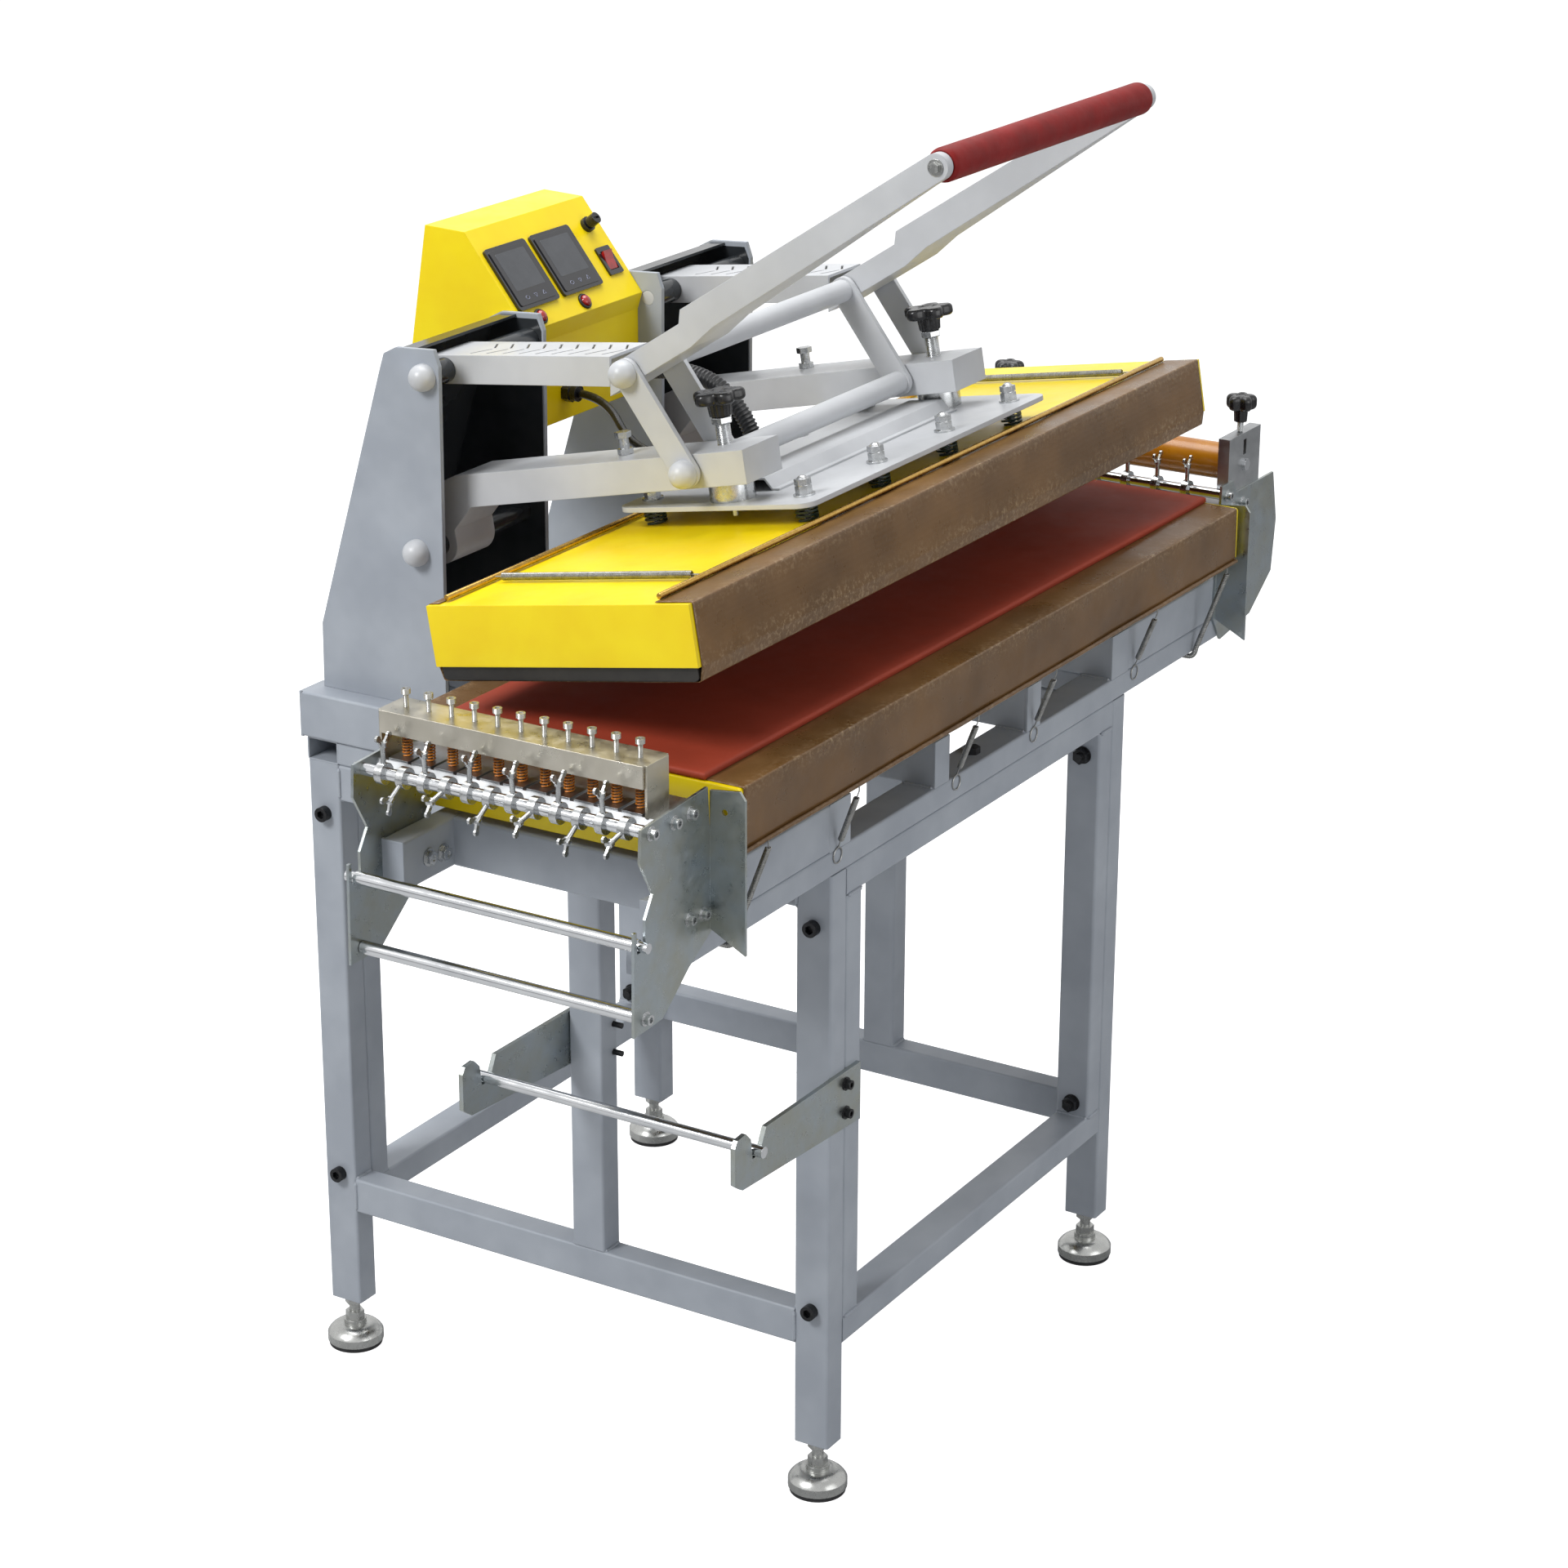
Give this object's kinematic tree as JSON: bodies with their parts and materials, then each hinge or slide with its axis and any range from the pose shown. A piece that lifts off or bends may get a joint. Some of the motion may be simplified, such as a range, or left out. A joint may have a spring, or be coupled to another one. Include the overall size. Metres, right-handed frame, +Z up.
{
  "type": "dual station heat press",
  "caption": "Long lever-operated heat press on a welded stand, with ribbon guides at one end and a nip roller at the other.",
  "frame": {"origin": "on the floor under the middle of the stand", "axes": "+X along the press from the feed end to the nip roller end, -Y towards the operator, +Z up"},
  "size_m": [1.3865, 0.7385, 1.4005],
  "materials": {
    "aluminium": "milled aluminium",
    "amber_rubber": "amber polyurethane rubber",
    "black_gloss_paint": "glossy black paint",
    "black_oxide": "black oxide screws",
    "black_plastic": "moulded black plastic",
    "board": "heat board",
    "bright_steel": "polished bright steel",
    "coated_cloth": "brown coated glass cloth, glossy",
    "foam_red": "red foam sleeve",
    "foot_rubber": "black rubber pad",
    "gloss_black": "gloss black plastic with a smooth window",
    "heater_black": "black coated cast heater plate",
    "hose_plastic": "black ribbed plastic hose",
    "lamp_lens": "clear coloured lens",
    "lead_jacket": "black rubber jacket",
    "linkage_paint": "light blue-grey powder coat, slightly glossy",
    "silicone_pad": "dark red silicone sponge",
    "spring_green": "dark green die spring",
    "spring_paint": "orange lacquered spring wire",
    "stand_paint": "light blue-grey powder coat",
    "turned_steel": "turned steel",
    "yellow_paint": "vivid yellow powder coat",
    "zinc_plate": "yellow-green passivated zinc plating"
  },
  "bodies": {
    "base": {"end_frames": "stand_paint", "side_frames": "stand_paint", "frame_screws": "black_oxide", "foot_cups": "turned_steel", "foot_pads": "foot_rubber", "base_rails": "stand_paint", "cross_tubes": "stand_paint", "end_outriggers": "stand_paint", "bed_board": "board", "bed_cover": "yellow_paint", "bed_cloth": "coated_cloth", "bed_pad": "silicone_pad", "bed_springs": "spring_paint", "upright_plates": "linkage_paint", "upright_backs": "black_gloss_paint", "pivot_pins": "linkage_paint", "control_box": "yellow_paint", "controllers": "gloss_black", "indicator_lamps": "lamp_lens", "cable_glands": "black_plastic", "platen_lead": "lead_jacket", "heater_hose": "hose_plastic", "station_brackets": "zinc_plate", "feed_bars": "aluminium", "guide_rods": "bright_steel", "guide_collars": "turned_steel", "wing_screws": "turned_steel", "tension_bar": "zinc_plate", "tension_screws": "black_oxide", "tension_springs": "spring_paint", "bearing_blocks": "zinc_plate", "roll_arms": "zinc_plate", "station_screws": "turned_steel"},
    "lever": {"lever_channels": "linkage_paint", "lever_arms": "linkage_paint", "grip_tube": "turned_steel", "grip_sleeve": "foam_red"},
    "links": {"down_links": "linkage_paint", "link_shafts": "linkage_paint", "link_tubes": "linkage_paint"},
    "head": {"press_arms": "linkage_paint", "head_hardware": "turned_steel", "float_plate": "linkage_paint", "float_studs": "bright_steel", "float_springs": "spring_green", "head_cover": "yellow_paint", "head_plate": "heater_black", "head_cloth": "coated_cloth", "head_cloth_springs": "spring_paint"},
    "near_pressure_screw": {"near_pressure_knob": "black_plastic"},
    "far_pressure_screw": {"far_pressure_knob": "black_plastic"},
    "power_switch_rocker": {"power_rocker": "lamp_lens"},
    "fuse_holder_cap": {"fuse_cap": "black_plastic"},
    "upper_guide_roller": {"near_upper_roller": "turned_steel"},
    "lower_guide_roller": {"near_lower_roller": "turned_steel"},
    "nip_roller": {"roller_core": "turned_steel", "rubber_roller": "amber_rubber"},
    "supply_rod": {"roll_rod": "bright_steel"},
    "front_nip_screw": {"nip_knob_front": "black_plastic"},
    "back_nip_screw": {"nip_knob_back": "black_plastic"}
  },
  "joints": [
    {"name": "lever_swing", "type": "hinge", "parent": "base", "child": "lever", "pos_m": [0, 0.169, 1.121], "axis": [1, 0, 0], "range_deg": [0, 18.7]},
    {"name": "links_swing", "type": "hinge", "parent": "lever", "child": "links", "pos_m": [0, -0.052, 1.148], "axis": [1, 0, 0], "range_deg": [-32.1, 0]},
    {"name": "head_swing", "type": "hinge", "parent": "base", "child": "head", "pos_m": [0, 0.1835, 0.936], "axis": [1, 0, 0], "range_deg": [0, 9.84], "deforming": ["platen_lead", "heater_hose"]},
    {"name": "near_pressure_turn", "type": "hinge", "parent": "head", "child": "near_pressure_screw", "pos_m": [-0.218, -0.13225, 1.09632], "axis": [0, 0.1709, 0.9853], "range_deg": [-720, 720]},
    {"name": "far_pressure_turn", "type": "hinge", "parent": "head", "child": "far_pressure_screw", "pos_m": [0.202, -0.13225, 1.09632], "axis": [0, 0.1709, 0.9853], "range_deg": [-720, 720]},
    {"name": "power_switch", "type": "hinge", "parent": "base", "child": "power_switch_rocker", "pos_m": [0.086, 0.2041, 1.16228], "axis": [1, 0, 0], "range_deg": [-16, 0]},
    {"name": "fuse_cap_turn", "type": "hinge", "parent": "base", "child": "fuse_holder_cap", "pos_m": [0.086, 0.23221, 1.19776], "axis": [0, -0.7838, 0.621], "range_deg": [-90, 0]},
    {"name": "upper_roller_turn", "type": "hinge", "parent": "base", "child": "upper_guide_roller", "pos_m": [-0.66, 0, 0.743], "axis": [0, 1, 0], "continuous": true},
    {"name": "lower_roller_turn", "type": "hinge", "parent": "base", "child": "lower_guide_roller", "pos_m": [-0.655, 0, 0.671], "axis": [0, 1, 0], "continuous": true},
    {"name": "nip_roller_turn", "type": "hinge", "parent": "base", "child": "nip_roller", "pos_m": [0.612, 0, 0.887], "axis": [0, 1, 0], "continuous": true},
    {"name": "supply_rod_turn", "type": "hinge", "parent": "base", "child": "supply_rod", "pos_m": [-0.467, 0, 0.462], "axis": [0, 1, 0], "continuous": true},
    {"name": "front_nip_turn", "type": "hinge", "parent": "base", "child": "front_nip_screw", "pos_m": [0.612, -0.313, 0.93], "axis": [0, 0, 1], "range_deg": [-360, 360]},
    {"name": "back_nip_turn", "type": "hinge", "parent": "base", "child": "back_nip_screw", "pos_m": [0.612, -0.012, 0.93], "axis": [0, 0, 1], "range_deg": [-360, 360]}
  ],
  "couplings": [
    {"joint": "links_swing", "follows": "lever_swing", "ratio": -1.7165},
    {"joint": "head_swing", "follows": "lever_swing", "ratio": 0.52618}
  ]
}
